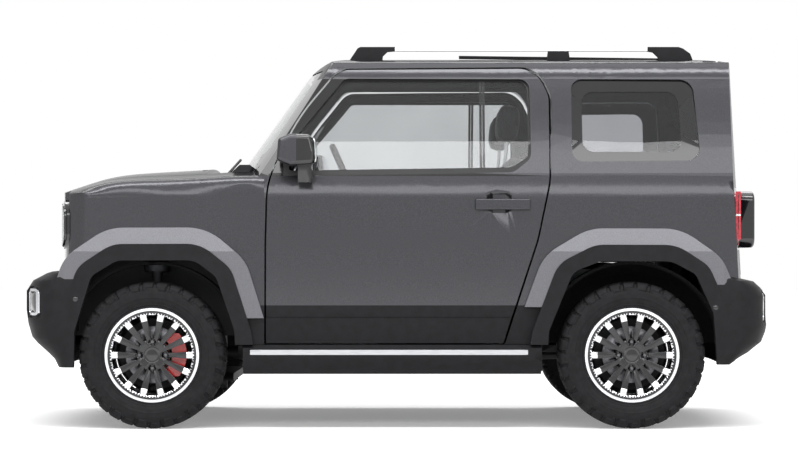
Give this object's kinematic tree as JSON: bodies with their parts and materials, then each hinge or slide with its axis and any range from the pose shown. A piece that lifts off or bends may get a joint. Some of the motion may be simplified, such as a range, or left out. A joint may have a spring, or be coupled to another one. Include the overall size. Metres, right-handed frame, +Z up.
{
  "type": "small three door off-road car",
  "caption": "Boxy off-road car with hinged doors, bonnet and rear door, steered front wheels, roof rails, side steps and arch covers.",
  "frame": {"origin": "on the ground below the middle of the overall length and width", "axes": "+X to the rear of the car, +Y to its right-hand side, +Z up; the car faces -X"},
  "size_m": [3.381, 1.97, 1.7],
  "materials": {
    "body_paint": "gunmetal grey metallic paint, glossy clear coat",
    "arch_cover_paint": "satin silver grey paint on moulded covers",
    "black_plastic": "moulded black plastic, fine grain",
    "black_gloss": "gloss black moulding",
    "glass_clear": "lightly tinted safety glass",
    "glass_privacy": "dark privacy glass",
    "lamp_clear": "clear lamp lens",
    "lamp_red": "red lamp lens",
    "rail_silver": "satin anodised bar",
    "chassis_steel": "black dipped chassis steel",
    "engine_metal": "cast alloy, plain block",
    "knuckle_iron": "cast iron with a red caliper",
    "seat_fabric": "dark woven seat fabric",
    "trim_plastic": "soft dark interior trim",
    "tyre_rubber": "black rubber, all-terrain pattern",
    "rim_alloy": "black alloy with machined tips"
  },
  "bodies": {
    "root": {"body_side_left": "body_paint", "body_side_right": "body_paint", "roof_panel": "body_paint", "windscreen": "glass_clear", "quarter_glass": "glass_privacy", "cowl_panel": "black_plastic", "fender_left": "body_paint", "fender_right": "body_paint", "nose_panel": "black_gloss", "front_bumper": "black_plastic", "rear_bumper": "black_plastic", "wheel_arch_flares": "black_plastic", "wheel_arch_covers": "arch_cover_paint", "side_steps": "black_plastic", "roof_rail_bars": "rail_silver", "roof_rail_feet": "black_plastic", "headlamps": "lamp_clear", "tail_lamps": "lamp_red", "floor_pan": "chassis_steel", "engine_bay_frame": "chassis_steel", "wheel_liners": "black_plastic", "engine_block": "engine_metal", "front_suspension": "chassis_steel", "drive_shafts": "chassis_steel", "rear_axle": "chassis_steel", "rear_links": "chassis_steel", "prop_shaft": "chassis_steel", "dashboard": "trim_plastic", "front_seats": "seat_fabric", "rear_seat": "seat_fabric", "wipers": "black_plastic"},
    "bonnet": {"bonnet": "body_paint"},
    "tailgate": {"tailgate": "body_paint", "tailgate_glass": "glass_privacy", "tailgate_box": "black_gloss"},
    "steering_wheel": {"steering_wheel": "trim_plastic"},
    "steering_rack": {"steering_rack": "chassis_steel"},
    "door_left": {"door_left": "body_paint", "door_glass_left": "glass_clear", "door_trim_left": "black_plastic", "mirror_left": "black_gloss"},
    "knuckle_left": {"knuckle_left": "knuckle_iron"},
    "door_right": {"door_right": "body_paint", "door_glass_right": "glass_clear", "door_trim_right": "black_plastic", "mirror_right": "black_gloss"},
    "knuckle_right": {"knuckle_right": "knuckle_iron"},
    "wheel_front_left": {"tyre_front_left": "tyre_rubber", "rim_front_left": "rim_alloy"},
    "wheel_front_right": {"tyre_front_right": "tyre_rubber", "rim_front_right": "rim_alloy"},
    "wheel_rear_left": {"tyre_rear_left": "tyre_rubber", "rim_rear_left": "rim_alloy"},
    "wheel_rear_right": {"tyre_rear_right": "tyre_rubber", "rim_rear_right": "rim_alloy"}
  },
  "joints": [
    {"name": "bonnet_hinge", "type": "hinge", "parent": "root", "child": "bonnet", "pos_m": [-0.8545, 0, 1.085], "axis": [0, 1, 0], "range_deg": [0, 45]},
    {"name": "tailgate_hinge", "type": "hinge", "parent": "root", "child": "tailgate", "pos_m": [1.5505, 0.655, 0.936], "axis": [0, 0, 1], "range_deg": [0, 85]},
    {"name": "door_left_hinge", "type": "hinge", "parent": "root", "child": "door_left", "pos_m": [-0.501, -0.795, 0.8], "axis": [0, 0, -1], "range_deg": [0, 65]},
    {"name": "door_right_hinge", "type": "hinge", "parent": "root", "child": "door_right", "pos_m": [-0.501, 0.795, 0.8], "axis": [0, 0, 1], "range_deg": [0, 65]},
    {"name": "steer_left", "type": "hinge", "parent": "root", "child": "knuckle_left", "pos_m": [-1.0725, -0.69, 0.18], "axis": [0, 0.2028, 0.9792], "range_deg": [-32, 32]},
    {"name": "steer_right", "type": "hinge", "parent": "root", "child": "knuckle_right", "pos_m": [-1.0725, 0.69, 0.18], "axis": [0, -0.2028, 0.9792], "range_deg": [-32, 32]},
    {"name": "steering_wheel_turn", "type": "hinge", "parent": "root", "child": "steering_wheel", "pos_m": [-0.2155, -0.35, 1.095], "axis": [0.9135, 0, 0.4067], "range_deg": [-486.4, 486.4]},
    {"name": "rack_slide", "type": "slide", "parent": "root", "child": "steering_rack", "axis": [0, 1, 0], "range_m": [-0.0645, 0.0645]},
    {"name": "spin_front_left", "type": "hinge", "parent": "knuckle_left", "child": "wheel_front_left", "pos_m": [-1.0725, -0.72, 0.32375], "axis": [0, 1, 0], "continuous": true},
    {"name": "spin_front_right", "type": "hinge", "parent": "knuckle_right", "child": "wheel_front_right", "pos_m": [-1.0725, 0.72, 0.32375], "axis": [0, 1, 0], "continuous": true},
    {"name": "spin_rear_left", "type": "hinge", "parent": "root", "child": "wheel_rear_left", "pos_m": [1.0375, -0.72, 0.32375], "axis": [0, 1, 0], "continuous": true},
    {"name": "spin_rear_right", "type": "hinge", "parent": "root", "child": "wheel_rear_right", "pos_m": [1.0375, 0.72, 0.32375], "axis": [0, 1, 0], "continuous": true}
  ],
  "couplings": [
    {"joint": "steer_right", "follows": "steer_left", "ratio": 1},
    {"joint": "steering_wheel_turn", "follows": "steer_left", "ratio": 15.2},
    {"joint": "rack_slide", "follows": "steer_left", "m_per_rad": 0.11386}
  ]
}
